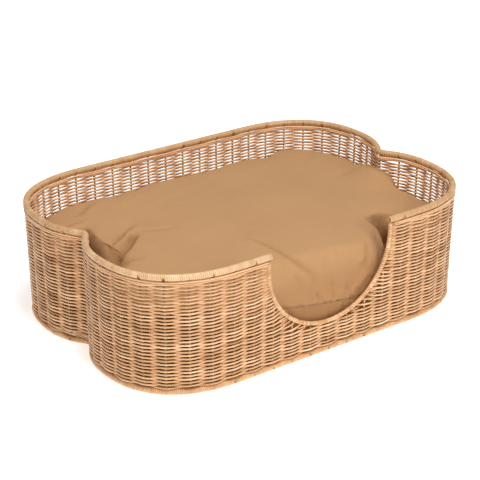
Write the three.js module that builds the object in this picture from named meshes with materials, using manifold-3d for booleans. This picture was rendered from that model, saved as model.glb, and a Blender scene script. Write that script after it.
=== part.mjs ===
// Wicker pet bed basket with a loose box cushion. Millimetres, +Z up, front (low entrance) towards -Y.
import * as THREE from 'three';
import { mergeVertices } from 'three/addons/utils/BufferGeometryUtils.js';
import Module from 'manifold-3d';

// ---- driving dimensions ----
const HALF_LENGTH = 400; // rim centreline, centre to the end lobes
const HALF_WIDTH = 283.25; // rim centreline, centre to the long walls
const CORNER_X = 198.23; // corner lobe reach along X
const CORNER_Y = 180.75; // corner lobe reach along Y
const CORNER_POWER = 2.425; // squareness of the corner lobes
const WAIST_RADIUS = 147.72; // hollow curve at each short end
const WAIST_FILLET = 12.8; // half height of the eased crease in the hollow
const HEIGHT = 244.1; // floor to rim top
const LEAN = 3.35; // how far the wall draws in at the floor
const RIM_R = 6.33; // wrapped rim
const RIM_POLE_R = 4.6;
const FOOT_R = 5.8; // wrapped foot border
const FOOT_HOOP_R = 3.9;
const GAP = 0.3;
const WALL_HALF = 5.2; // half thickness of the woven wall
const STAKE_R = 2.2;
const STAKE_COUNT = 56;
const BEND_R = 6; // stake bend from wall to base
const LOW_LAYER_Z = 13.9; // base sticks running front to rear
const HIGH_LAYER_Z = 18.8; // base sticks running end to end
const MAT_Z = [21.4, 24.4];
const MAT_OFFSET = -11;
const WEAVE_BOTTOM = 12.0;
const WEAVE_SPLIT = 60.0; // rows under this run all the way round
const WEAVE_TOP = 223.6;
const WALE_Z = [223.9, 231.1];
const WALE_D = [3.2, 6.1]; // cane bands outside and inside the stakes
const ENTRANCE_HALF = 141.6; // clear half width of the entrance
const ENTRANCE_CENTRE_Z = 209.6;
const HOOP_R = 4.2; // bound entrance hoop
const HOOP_POLE_R = 3.0;
const CUSHION_OFFSET = -12;
const CUSHION_BOTTOM = 24.8;
const CUSHION_SEAM = 98;
const CUSHION_TOP = 183;

const wasm = await Module();
wasm.setup();

// ---- plan outline, as a closed line with its length ----
const YC = HALF_WIDTH - CORNER_Y;
function quarter() {
  const out = [];
  for (let i = 0; i <= 60; i++) out.push([((HALF_LENGTH - CORNER_X) * i) / 60, HALF_WIDTH]);
  for (let i = 1; i <= 240; i++) {
    const t = ((i / 240) * Math.PI) / 2;
    out.push([
      HALF_LENGTH - CORNER_X + CORNER_X * Math.sin(t) ** (2 / CORNER_POWER),
      YC + CORNER_Y * Math.max(0, Math.cos(t)) ** (2 / CORNER_POWER),
    ]);
  }
  const arcX = (y) => HALF_LENGTH - WAIST_RADIUS + Math.sqrt(WAIST_RADIUS ** 2 - (YC - y) ** 2);
  const slope = (YC - WAIST_FILLET) / Math.sqrt(WAIST_RADIUS ** 2 - (YC - WAIST_FILLET) ** 2);
  for (let i = 1; i <= 160; i++) {
    const y = YC * (1 - i / 160);
    if (y >= WAIST_FILLET) out.push([arcX(y), y]);
    else out.push([arcX(WAIST_FILLET) - (slope * WAIST_FILLET) / 2 + (slope * y * y) / (2 * WAIST_FILLET), y]);
  }
  return out;
}
const Q = quarter();
const LINE = [];
for (const [x, y] of Q) LINE.push([x, -y]);
for (let i = Q.length - 2; i >= 0; i--) LINE.push([Q[i][0], Q[i][1]]);
for (let i = 1; i < Q.length; i++) LINE.push([-Q[i][0], Q[i][1]]);
for (let i = Q.length - 2; i >= 1; i--) LINE.push([-Q[i][0], -Q[i][1]]);
const CUM = [0];
for (let i = 0; i < LINE.length; i++) {
  const a = LINE[i];
  const b = LINE[(i + 1) % LINE.length];
  CUM.push(CUM[i] + Math.hypot(b[0] - a[0], b[1] - a[1]));
}
const LENGTH = CUM[LINE.length];
function at(s) {
  s = ((s % LENGTH) + LENGTH) % LENGTH;
  let lo = 0;
  let hi = LINE.length;
  while (hi - lo > 1) {
    const mid = (lo + hi) >> 1;
    if (CUM[mid] <= s) lo = mid;
    else hi = mid;
  }
  const a = LINE[lo];
  const b = LINE[(lo + 1) % LINE.length];
  const t = (s - CUM[lo]) / (CUM[lo + 1] - CUM[lo]);
  return [a[0] + (b[0] - a[0]) * t, a[1] + (b[1] - a[1]) * t];
}
function normal(s) {
  const a = at(s - 1.5);
  const b = at(s + 1.5);
  const l = Math.hypot(b[0] - a[0], b[1] - a[1]);
  return [(b[1] - a[1]) / l, -(b[0] - a[0]) / l];
}
function plan(s, d) {
  const p = at(s);
  const n = normal(s);
  return [p[0] + n[0] * d, p[1] + n[1] * d];
}
const lean = (z) => -LEAN * (1 - z / (HEIGHT - RIM_R));
const QUARTER = LENGTH / 4;
const STRAIGHT = HALF_LENGTH - CORNER_X;

// stations along the outline: sparse on straights, close in the curves
function quarterStations() {
  const out = [0, STRAIGHT * 0.88];
  const arcStart = QUARTER - 116;
  const n1 = 10;
  for (let i = 1; i <= n1; i++) out.push(STRAIGHT * 0.88 + ((arcStart - STRAIGHT * 0.88) * i) / n1);
  const n2 = 4;
  for (let i = 1; i <= n2; i++) out.push(arcStart + ((QUARTER - 15 - arcStart) * i) / n2);
  out.push(QUARTER - 7.5, QUARTER);
  return out;
}
const QS = quarterStations();
const RING = [];
for (const s of QS) RING.push(s);
for (let i = QS.length - 2; i >= 0; i--) RING.push(2 * QUARTER - QS[i]);
for (let i = 1; i < QS.length; i++) RING.push(2 * QUARTER + QS[i]);
for (let i = QS.length - 2; i >= 1; i--) RING.push(4 * QUARTER - QS[i]);
const SOFT = RING.filter((_, i) => i % 2 === 0); // fewer stations for the cushion
// stations of an open run from s0 round the rear to LENGTH - s0
function openRun(s0, s1 = LENGTH - s0) {
  return [s0, ...RING.filter((s) => s > s0 + 4 && s < s1 - 4), s1];
}

// ---- mesh helpers ----
function geometry(points, faces) {
  const g = new THREE.BufferGeometry();
  g.setAttribute('position', new THREE.Float32BufferAttribute(points.flat(), 3));
  g.setIndex(faces.flat());
  return g;
}
// rows: loops of equal length, joined one after the other; the loops turn so that faces look outwards
function loft(rows, closed) {
  const n = rows[0].length;
  const pts = rows.flat();
  const faces = [];
  const m = closed ? rows.length : rows.length - 1;
  for (let i = 0; i < m; i++) {
    const a = i * n;
    const b = ((i + 1) % rows.length) * n;
    for (let j = 0; j < n; j++) {
      const k = (j + 1) % n;
      faces.push([a + j, a + k, b + k], [a + j, b + k, b + j]);
    }
  }
  if (!closed) {
    const last = (rows.length - 1) * n;
    for (let j = 1; j < n - 1; j++) {
      faces.push([0, j + 1, j]);
      faces.push([last, last + j, last + j + 1]);
    }
  }
  return fixWinding(geometry(pts, faces));
}
function volume(g) {
  const p = g.attributes.position.array;
  const ix = g.index.array;
  let v = 0;
  for (let i = 0; i < ix.length; i += 3) {
    const [a, b, c] = [ix[i] * 3, ix[i + 1] * 3, ix[i + 2] * 3];
    v +=
      p[a] * (p[b + 1] * p[c + 2] - p[b + 2] * p[c + 1]) -
      p[a + 1] * (p[b] * p[c + 2] - p[b + 2] * p[c]) +
      p[a + 2] * (p[b] * p[c + 1] - p[b + 1] * p[c]);
  }
  return v / 6;
}
function fixWinding(g) {
  if (volume(g) < 0) {
    const ix = g.index.array;
    for (let i = 0; i < ix.length; i += 3) [ix[i + 1], ix[i + 2]] = [ix[i + 2], ix[i + 1]];
  }
  return g;
}
function solid(g) {
  const c = g.clone();
  c.deleteAttribute('normal');
  c.deleteAttribute('uv');
  const m = mergeVertices(c, 1e-5);
  return new wasm.Manifold(
    new wasm.Mesh({
      numProp: 3,
      vertProperties: new Float32Array(m.attributes.position.array),
      triVerts: new Uint32Array(m.index.array),
    }),
  );
}
function back(man) {
  const m = man.getMesh();
  const g = new THREE.BufferGeometry();
  g.setAttribute('position', new THREE.BufferAttribute(new Float32Array(m.vertProperties), 3));
  g.setIndex(new THREE.BufferAttribute(new Uint32Array(m.triVerts), 1));
  return g;
}
// regular polygon given by the radius of its flats
function poly(n, apothem, turn = 0) {
  const r = apothem / Math.cos(Math.PI / n);
  const out = [];
  for (let i = 0; i < n; i++) {
    const t = turn + Math.PI / n + (2 * Math.PI * i) / n;
    out.push([r * Math.cos(t), r * Math.sin(t)]);
  }
  return out;
}
// a section of (offset, z) swept along outline stations
function ring(stations, section, closed) {
  return loft(
    stations.map((s) =>
      section.map(([d, z]) => {
        const p = plan(s, d);
        return [p[0], p[1], z];
      }),
    ),
    closed,
  );
}
const shifted = (pts, d, z) => pts.map(([a, b]) => [a + d, b + z]);
// flat outline plate or dome: levels of [offset, z], the first and last closed by a middle point
function layered(levels, stations, bottomZ, topZ) {
  const n = stations.length;
  const pts = [];
  for (const [d, z] of levels) {
    for (const s of stations) {
      const p = plan(s, d);
      pts.push([p[0], p[1], z]);
    }
  }
  const faces = [];
  for (let i = 0; i < levels.length - 1; i++) {
    for (let j = 0; j < n; j++) {
      const k = (j + 1) % n;
      faces.push([i * n + j, i * n + k, (i + 1) * n + k], [i * n + j, (i + 1) * n + k, (i + 1) * n + j]);
    }
  }
  const b = pts.length;
  pts.push([0, 0, bottomZ]);
  const t = pts.length;
  pts.push([0, 0, topZ]);
  const last = (levels.length - 1) * n;
  for (let j = 0; j < n; j++) {
    const k = (j + 1) % n;
    faces.push([b, k, j], [t, last + j, last + k]);
  }
  return fixWinding(geometry(pts, faces));
}
// round stick through points, six-sided, with frames carried along
function stick(points, r, sides = 6) {
  const p = points.map((q) => new THREE.Vector3(...q));
  const tangents = p.map((_, i) =>
    new THREE.Vector3().subVectors(p[Math.min(i + 1, p.length - 1)], p[Math.max(i - 1, 0)]).normalize(),
  );
  let side = new THREE.Vector3(1, 0, 0);
  if (Math.abs(tangents[0].x) > 0.9) side.set(0, 1, 0);
  const rows = [];
  for (let i = 0; i < p.length; i++) {
    side.addScaledVector(tangents[i], -side.dot(tangents[i])).normalize();
    const up = new THREE.Vector3().crossVectors(tangents[i], side);
    const row = [];
    for (let j = 0; j < sides; j++) {
      const t = (2 * Math.PI * (j + 0.5)) / sides;
      const v = p[i].clone().addScaledVector(side, r * Math.cos(t)).addScaledVector(up, r * Math.sin(t));
      row.push([v.x, v.y, v.z]);
    }
    rows.push(row);
  }
  return loft(rows, false);
}

const group = new THREE.Group();
group.name = 'wicker_pet_bed';
function add(name, g, colour, rough) {
  const mesh = new THREE.Mesh(g, new THREE.MeshStandardMaterial({ color: colour, roughness: rough }));
  mesh.name = name;
  group.add(mesh);
}
const CANE = 0xd8b07c;
const PALE = 0xe6c898;
const REED = 0xcf9f6a;
const CLOTH = 0xc49a6a;

// ---- foot border ----
const footD = -LEAN;
const footZ = FOOT_R;
add('foot_hoop', ring(RING, shifted(poly(6, FOOT_HOOP_R), footD, footZ), true), REED, 0.6);
{
  const cut = 2 * QUARTER; // the binding starts and ends at the rear middle
  const outer = [cut + 0.6, ...RING.map((s) => (s <= cut ? s + LENGTH : s)).filter((s) => s > cut + 4 && s < cut + LENGTH - 4).sort((a, b) => a - b), cut + LENGTH - 0.6];
  const inner = [cut - 3, ...outer, cut + LENGTH + 3].filter((s) => s !== outer[0] && s !== outer[outer.length - 1]);
  const shell = solid(ring(outer, shifted(poly(8, FOOT_R), footD, footZ), false)).subtract(
    solid(ring([cut + 0.3, ...inner.slice(1, -1), cut + LENGTH - 0.3], shifted(poly(6, FOOT_HOOP_R + GAP), footD, footZ), false)),
  );
  add('foot_binding', back(shell), CANE, 0.55);
}

// ---- stakes: each is one rod, down one wall, across the base and up the opposite wall ----
const PITCH = LENGTH / STAKE_COUNT;
const STAKE_TOP = 231.1;
function hoopZ(x, clear) {
  const R = ENTRANCE_HALF + 2 * HOOP_R + clear;
  return ENTRANCE_CENTRE_Z - Math.sqrt(R * R - x * x);
}
function leg(s, h, zc) {
  // wall leg from its top down to the base run, as points
  const p = at(s);
  let top = STAKE_TOP;
  if (p[1] < 0 && Math.abs(p[0]) < ENTRANCE_HALF) top = hoopZ(Math.max(0, Math.abs(p[0]) - STAKE_R - 0.4), 0.6);
  const foot = plan(s, lean(zc + BEND_R));
  const head = plan(s, lean(top));
  const pts = [[head[0], head[1], top]];
  for (const a of [0, 45, 90]) {
    const t = (a * Math.PI) / 180;
    pts.push([
      foot[0] + h[0] * BEND_R * (1 - Math.cos(t)),
      foot[1] + h[1] * BEND_R * (1 - Math.cos(t)),
      zc + BEND_R - BEND_R * Math.sin(t),
    ]);
  }
  return pts;
}
const LAST_Y = 8; // stakes 0..8 from the middle of a long wall cross the base front to rear
const rods = [];
for (let i = -LAST_Y; i <= LAST_Y; i++) {
  const front = leg(i * PITCH, [0, 1], LOW_LAYER_Z);
  const rear = leg(2 * QUARTER - i * PITCH, [0, -1], LOW_LAYER_Z);
  const tag = i === 0 ? 'middle' : `${i < 0 ? 'left' : 'right'}_${Math.abs(i)}`;
  rods.push([`stake_front_rear_${tag}`, [...front, ...rear.reverse()]]);
}
const ENDS = STAKE_COUNT / 4 - LAST_Y - 1;
for (let i = -ENDS; i <= ENDS; i++) {
  const right = leg(QUARTER + i * PITCH, [-1, 0], HIGH_LAYER_Z);
  const left = leg(3 * QUARTER - i * PITCH, [1, 0], HIGH_LAYER_Z);
  const tag = i === 0 ? 'middle' : `${i < 0 ? 'front' : 'rear'}_${Math.abs(i)}`;
  rods.push([`stake_end_to_end_${tag}`, [...left, ...right.reverse()]]);
}
for (const [name, pts] of rods) add(name, stick(pts, STAKE_R), REED, 0.62);

// ---- woven wall: full rounds below the entrance, and rounds that turn back at the entrance hoop ----
{
  const band = (z0, z1) => [
    [lean(z0) + WALL_HALF, z0],
    [lean(z1) + WALL_HALF, z1],
    [lean(z1) - WALL_HALF, z1],
    [lean(z0) - WALL_HALF, z0],
  ];
  const channels = wasm.Manifold.union(
    rods.map(([, pts]) => {
      const longer = pts.map((p) => [...p]);
      longer[0][2] += 3;
      longer[longer.length - 1][2] += 3;
      return solid(stick(longer, (STAKE_R + GAP) * Math.SQRT2, 4));
    }),
  );
  const R = ENTRANCE_HALF + 2 * HOOP_R + GAP;
  const shape = new THREE.Shape();
  shape.moveTo(-R, 300);
  shape.lineTo(-R, ENTRANCE_CENTRE_Z);
  for (let i = 1; i < 32; i++) {
    const t = Math.PI + (Math.PI * i) / 32;
    shape.lineTo((R / Math.cos(Math.PI / 64)) * Math.cos(t), ENTRANCE_CENTRE_Z + (R / Math.cos(Math.PI / 64)) * Math.sin(t));
  }
  shape.lineTo(R, ENTRANCE_CENTRE_Z);
  shape.lineTo(R, 300);
  const gate = new THREE.ExtrudeGeometry(shape, { depth: 60, bevelEnabled: false });
  gate.rotateX(Math.PI / 2);
  gate.translate(0, -HALF_WIDTH + 30, 0);
  const opening = solid(fixWinding(indexed(gate)));
  const lower = solid(ring(RING, band(WEAVE_BOTTOM, WEAVE_SPLIT - 0.6), true)).subtract(channels).subtract(opening);
  add('wall_weave_lower', back(lower), CANE, 0.58);
  const feather = new THREE.BoxGeometry(56, 60, 20);
  feather.translate(0, -HALF_WIDTH, WEAVE_SPLIT);
  const upper = solid(ring(RING, band(WEAVE_SPLIT - 0.3, WEAVE_TOP), true))
    .subtract(channels)
    .subtract(opening)
    .subtract(solid(feather));
  add('wall_weave_upper', back(upper), CANE, 0.58);
}
function indexed(g) {
  const c = g.clone();
  c.deleteAttribute('normal');
  c.deleteAttribute('uv');
  return mergeVertices(c, 1e-4);
}

// ---- cane bands under the rim, one outside and one inside the stakes ----
{
  const s0 = ENTRANCE_HALF + 2 * HOOP_R + 0.4;
  const run = openRun(s0);
  const side = (a, b) => [
    [lean(WALE_Z[0]) + b, WALE_Z[0]],
    [lean(WALE_Z[1]) + b, WALE_Z[1]],
    [lean(WALE_Z[1]) + a, WALE_Z[1]],
    [lean(WALE_Z[0]) + a, WALE_Z[0]],
  ];
  add('top_wale_outer', ring(run, side(WALE_D[0], WALE_D[1]), false), CANE, 0.55);
  add('top_wale_inner', ring(run, side(-WALE_D[1], -WALE_D[0]), false), CANE, 0.55);
}

// ---- rim: pole and its binding, open at the entrance ----
{
  const z = HEIGHT - RIM_R;
  const outer = solid(ring(openRun(ENTRANCE_HALF), shifted(poly(8, RIM_R), 0, z), false));
  const bore = solid(ring(openRun(ENTRANCE_HALF - 3), shifted(poly(6, RIM_POLE_R + GAP), 0, z), false));
  add('rim_pole', ring(openRun(ENTRANCE_HALF + 0.8), shifted(poly(6, RIM_POLE_R), 0, z), false), REED, 0.6);
  add('rim_binding', back(outer.subtract(bore)), PALE, 0.5);
}

// ---- entrance hoop and its binding ----
{
  const R = ENTRANCE_HALF + HOOP_R;
  const path = (extra) => {
    const out = [[-R, 231.1 + extra]];
    for (let i = 0; i <= 30; i++) {
      const t = Math.PI + (Math.PI * i) / 30;
      out.push([R * Math.cos(t), ENTRANCE_CENTRE_Z + R * Math.sin(t)]);
    }
    out.push([R, 231.1 + extra]);
    return out;
  };
  const sweep = (section, extra) => {
    const pts = path(extra);
    return loft(
      pts.map(([x, z], i) => {
        let nx = -Math.cos(Math.PI + (Math.PI * (i - 1)) / 30);
        let nz = -Math.sin(Math.PI + (Math.PI * (i - 1)) / 30);
        if (i === 0) [nx, nz] = [1, 0];
        if (i === pts.length - 1) [nx, nz] = [-1, 0];
        return section.map(([a, b]) => [x + nx * a, -(HALF_WIDTH + lean(z + nz * a)) + b, z + nz * a]);
      }),
      false,
    );
  };
  add('entrance_hoop', sweep(poly(6, HOOP_POLE_R), -0.4), REED, 0.6);
  const binding = solid(sweep(poly(8, HOOP_R), 0)).subtract(solid(sweep(poly(6, HOOP_POLE_R + GAP), 3)));
  add('entrance_binding', back(binding), PALE, 0.52);
}

// ---- base mat on the crossing sticks ----
add('base_mat', layered([[MAT_OFFSET, MAT_Z[0]], [MAT_OFFSET, MAT_Z[1]]], RING, MAT_Z[0], MAT_Z[1]), CANE, 0.6);

// ---- cushion: base cup, top cup and the filling inside ----
{
  const o = CUSHION_OFFSET;
  const skin = (t) => [
    [o - 16 - t * 0.6, CUSHION_BOTTOM + t],
    [o - 4 - t, CUSHION_BOTTOM + 8 + t * 0.5],
    [o - t, CUSHION_BOTTOM + 34],
    [o - t, CUSHION_TOP - 36],
    [o - 4 - t, CUSHION_TOP - 16 - t * 0.5],
    [o - 20 - t * 0.6, CUSHION_TOP - 7 - t],
    [o - 60 - t * 0.3, CUSHION_TOP - 2 - t],
  ];
  const whole = solid(layered(skin(0), SOFT, CUSHION_BOTTOM, CUSHION_TOP));
  const hollow = solid(layered(skin(2.4), SOFT, CUSHION_BOTTOM + 2.4, CUSHION_TOP - 2.4));
  const cover = whole.subtract(hollow);
  const low = cover.trimByPlane([0, 0, -1], -(CUSHION_SEAM - 0.15));
  const high = cover.trimByPlane([0, 0, 1], CUSHION_SEAM + 0.15);
  add('cushion_base_panel', back(low), CLOTH, 0.9);
  add('cushion_top_panel', back(high), CLOTH, 0.9);
  add('cushion_filling', layered(skin(2.8), SOFT, CUSHION_BOTTOM + 2.8, CUSHION_TOP - 2.8), 0xf2efe6, 0.95);
}

export default group;
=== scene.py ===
import math

import bmesh
import bpy
import numpy as np
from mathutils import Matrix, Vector
from mathutils.bvhtree import BVHTree


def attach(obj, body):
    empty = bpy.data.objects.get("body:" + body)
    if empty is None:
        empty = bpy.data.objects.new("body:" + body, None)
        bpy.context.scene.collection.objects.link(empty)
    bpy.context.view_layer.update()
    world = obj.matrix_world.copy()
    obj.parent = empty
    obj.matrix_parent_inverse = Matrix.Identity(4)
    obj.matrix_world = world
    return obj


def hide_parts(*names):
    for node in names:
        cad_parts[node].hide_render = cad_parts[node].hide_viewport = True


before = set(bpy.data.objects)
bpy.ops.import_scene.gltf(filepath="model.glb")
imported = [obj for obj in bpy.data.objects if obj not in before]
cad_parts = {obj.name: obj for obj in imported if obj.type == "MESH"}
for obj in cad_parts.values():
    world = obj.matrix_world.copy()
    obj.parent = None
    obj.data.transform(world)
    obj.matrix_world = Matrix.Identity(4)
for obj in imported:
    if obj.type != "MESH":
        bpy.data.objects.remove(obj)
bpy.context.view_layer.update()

MM = 0.001
rng = np.random.default_rng(20261)

# ------------------------------------------------------------------ plan outline, millimetres, as in the CAD
A, B, CX, CY, POW, WR, FIL = 400.0, 283.25, 198.23, 180.75, 2.425, 147.72, 12.8
HEIGHT, LEAN, RIM_R, FOOT_R = 244.1, 3.35, 6.33, 5.8
STAKES, STAKE_R, BEND_R = 56, 2.2, 6.0
LOW_Z, HIGH_Z = 13.9, 18.8
EH, EZ, HOOP_R = 141.6, 209.6, 4.2
YC = B - CY


def quarter():
    out = [((A - CX) * i / 60, B) for i in range(61)]
    for i in range(1, 401):
        t = i / 400 * math.pi / 2
        out.append((A - CX + CX * math.sin(t) ** (2 / POW), YC + CY * max(0.0, math.cos(t)) ** (2 / POW)))
    arc = lambda y: A - WR + math.sqrt(WR**2 - (YC - y) ** 2)
    sl = (YC - FIL) / math.sqrt(WR**2 - (YC - FIL) ** 2)
    for i in range(1, 241):
        y = YC * (1 - i / 240)
        out.append((arc(y), y) if y >= FIL else (arc(FIL) - sl * FIL / 2 + sl * y * y / (2 * FIL), y))
    return out


Q = quarter()
LINE = [(x, -y) for x, y in Q] + [Q[i] for i in range(len(Q) - 2, -1, -1)]
LINE += [(-x, y) for x, y in Q[1:]] + [(-Q[i][0], -Q[i][1]) for i in range(len(Q) - 2, 0, -1)]
LINE = np.array(LINE + [LINE[0]])
CUM = np.concatenate([[0], np.cumsum(np.hypot(*np.diff(LINE, axis=0).T))])
L = float(CUM[-1])
QL = L / 4
PITCH = L / STAKES


def at(s):
    s = np.asarray(s, float) % L
    return np.stack([np.interp(s, CUM, LINE[:, 0]), np.interp(s, CUM, LINE[:, 1])], -1)


def normal(s, h=1.5):
    t = at(np.asarray(s, float) + h) - at(np.asarray(s, float) - h)
    t /= np.linalg.norm(t, axis=-1, keepdims=True)
    return np.stack([t[..., 1], -t[..., 0]], -1)


def lean(z):
    return -LEAN * (1 - np.asarray(z, float) / (HEIGHT - RIM_R))


def wall(s, d, z):
    """A point of the wall: d outwards from its middle surface, z up."""
    s, d, z = np.broadcast_arrays(np.asarray(s, float), d, z)
    p = at(s) + normal(s) * (d + lean(z))[..., None]
    return np.concatenate([p, z[..., None]], -1)


def smooth_noise(n, knots, seed, closed=True):
    r = np.random.default_rng(seed)
    k = r.uniform(-1, 1, knots)
    x = np.linspace(0, knots, n, endpoint=False)
    i = x.astype(int)
    f = x - i
    f = f * f * (3 - 2 * f)
    return k[i % knots] * (1 - f) + k[(i + 1) % knots] * f


def soft_step(v):
    v = np.clip(v, 0, 1)
    return v * v * (3 - 2 * v)


# ------------------------------------------------------------------ mesh building
class Soup:
    """Gathers closed tubes into one mesh, with a fibre coordinate and a tone on each point."""

    def __init__(self):
        self.v, self.q, self.t, self.fib, self.tone, self.n = [], [], [], [], [], 0

    def grid(self, rows, closed_u, caps=True, fib=None, tone=None):
        """rows: (N, M, 3) points, M round the section. closed_u joins the last row to the first."""
        N, M, _ = rows.shape
        idx = self.n + np.arange(N * M).reshape(N, M)
        a = idx if closed_u else idx[:-1]
        b = np.roll(idx, -1, 0) if closed_u else idx[1:]
        a2, b2 = np.roll(a, -1, 1), np.roll(b, -1, 1)
        self.q.append(np.stack([a, a2, b2, b], -1).reshape(-1, 4))
        self.v.append(rows.reshape(-1, 3))
        self.fib.append((np.zeros((N, M, 3)) if fib is None else fib).reshape(-1, 3))
        self.tone.append((np.ones((N, M)) if tone is None else np.broadcast_to(tone, (N, M))).reshape(-1))
        self.n += N * M
        if not closed_u and caps:
            for row, flip in ((idx[0], True), (idx[-1], False)):
                pts = rows[0] if flip else rows[-1]
                self.v.append(pts.mean(0)[None])
                self.fib.append(self.fib[-1][:1] * 0)
                self.tone.append(np.array([0.8]))
                c = self.n
                self.n += 1
                nx = np.roll(row, -1)
                tri = np.stack([row, np.full(M, c), nx], -1) if not flip else np.stack([row, nx, np.full(M, c)], -1)
                self.t.append(tri)
        return idx

    def sleeve(self, outer, inner, fib, tone):
        """A hollow tube: outer and inner (N, M, 3) grids, joined at both ends."""
        io = self.grid(outer, False, caps=False, fib=fib, tone=tone)
        ii = self.grid(inner[:, ::-1], False, caps=False, fib=fib[:, ::-1], tone=0.7)
        ii = ii[:, ::-1]
        for k in (0, -1):
            o, i = io[k], ii[k]
            o2, i2 = np.roll(o, -1), np.roll(i, -1)
            self.q.append(np.stack([o, i, i2, o2], -1) if k == 0 else np.stack([o, o2, i2, i], -1))

    def make(self, name, smooth=True):
        v = np.concatenate(self.v) * MM
        q = np.concatenate(self.q) if self.q else np.zeros((0, 4), int)
        t = np.concatenate(self.t) if self.t else np.zeros((0, 3), int)
        q, t = q[:, ::-1], t[:, ::-1]
        me = bpy.data.meshes.new(name)
        me.vertices.add(len(v))
        me.vertices.foreach_set("co", v.astype(np.float32).ravel())
        loops = np.concatenate([q.ravel(), t.ravel()]).astype(np.int32)
        me.loops.add(len(loops))
        me.loops.foreach_set("vertex_index", loops)
        me.polygons.add(len(q) + len(t))
        starts = np.concatenate([np.arange(len(q)) * 4, len(q) * 4 + np.arange(len(t)) * 3]).astype(np.int32)
        me.polygons.foreach_set("loop_start", starts)
        me.polygons.foreach_set("use_smooth", np.ones(len(q) + len(t), bool))
        me.update(calc_edges=True)
        me.validate()
        a = me.attributes.new("fib", "FLOAT_VECTOR", "POINT")
        a.data.foreach_set("vector", np.concatenate(self.fib).astype(np.float32).ravel())
        a = me.attributes.new("tone", "FLOAT", "POINT")
        a.data.foreach_set("value", np.concatenate(self.tone).astype(np.float32).ravel())
        o = bpy.data.objects.new(name, me)
        bpy.context.scene.collection.objects.link(o)
        # outward faces
        vol = 0.0
        co = v
        if len(q):
            a_, b_, c_, d_ = (co[q[:, i]] for i in range(4))
            vol += (np.cross(a_, b_) * c_).sum() + (np.cross(a_, c_) * d_).sum()
        if len(t):
            a_, b_, c_ = (co[t[:, i]] for i in range(3))
            vol += (np.cross(a_, b_) * c_).sum()
        if vol < 0:
            me.flip_normals()
        return o


def section(M, r):
    t = np.arange(M) / M * 2 * np.pi
    return t, np.cos(t), np.sin(t)


def tube(soup, centre, U, V, r, sides, closed, row=0.0, tone=1.0, start=0.0, tall=None):
    """centre, U, V: (N, 3); r: number, (N,) or (N, sides); tall stretches the section along V."""
    t, c, s = section(sides, r)
    r = np.asarray(r, float)
    if r.ndim == 0:
        r = np.full((len(centre), sides), float(r))
    elif r.ndim == 1:
        r = np.repeat(r[:, None], sides, 1)
    up = np.ones(len(centre)) if tall is None else tall
    rows = centre[:, None] + U[:, None] * (c * r)[..., None] + V[:, None] * (s * r * up[:, None])[..., None]
    step = np.concatenate([[0], np.cumsum(np.linalg.norm(np.diff(centre, axis=0), axis=1))]) + start
    fib = np.zeros(rows.shape)
    fib[..., 0] = step[:, None] * 0.01
    fib[..., 1] = c * 0.16
    fib[..., 2] = s * 0.16 + row
    soup.grid(rows, closed, fib=fib, tone=np.asarray(tone)[:, None] if np.ndim(tone) == 1 else np.asarray(tone))
    return rows


def ring_frame(s):
    n = normal(s)
    U = np.concatenate([n, np.zeros((len(n), 1))], 1)
    V = np.tile([0.0, 0, 1], (len(n), 1))
    return U, V


# ------------------------------------------------------------------ materials
def material(name, slot=None):
    m = bpy.data.materials.new(name)
    m.use_nodes = True
    nt = m.node_tree
    b = nt.nodes["Principled BSDF"]
    return m, nt, b


def ramp(nt, fac, stops):
    n = nt.nodes.new("ShaderNodeValToRGB")
    e = n.color_ramp.elements
    while len(e) < len(stops):
        e.new(0.5)
    for el, (p, c) in zip(e, stops):
        el.position = p
        el.color = (*c, 1)
    nt.links.new(fac, n.inputs["Fac"])
    return n.outputs["Color"]


def math_node(nt, op, a, b=None, clamp=False):
    n = nt.nodes.new("ShaderNodeMath")
    n.operation = op
    n.use_clamp = clamp
    for i, x in enumerate((a, b)):
        if x is None:
            continue
        if isinstance(x, (int, float)):
            n.inputs[i].default_value = x
        else:
            nt.links.new(x, n.inputs[i])
    return n.outputs[0]


def noise(nt, vec, scale, detail=4.0, rough=0.55, stretch=None):
    if stretch:
        mp = nt.nodes.new("ShaderNodeMapping")
        mp.inputs["Scale"].default_value = stretch
        nt.links.new(vec, mp.inputs["Vector"])
        vec = mp.outputs["Vector"]
    n = nt.nodes.new("ShaderNodeTexNoise")
    n.inputs["Scale"].default_value = scale
    n.inputs["Detail"].default_value = detail
    n.inputs["Roughness"].default_value = rough
    nt.links.new(vec, n.inputs["Vector"])
    return n.outputs["Fac"]


def mix(nt, fac, a, b, mode="MIX"):
    n = nt.nodes.new("ShaderNodeMix")
    n.data_type = "RGBA"
    n.blend_type = mode
    for sock, x in ((n.inputs[0], fac), (n.inputs[6], a), (n.inputs[7], b)):
        if isinstance(x, (int, float)):
            sock.default_value = x
        elif isinstance(x, tuple):
            sock.default_value = (*x, 1)
        else:
            nt.links.new(x, sock)
    return n.outputs[2]


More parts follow.
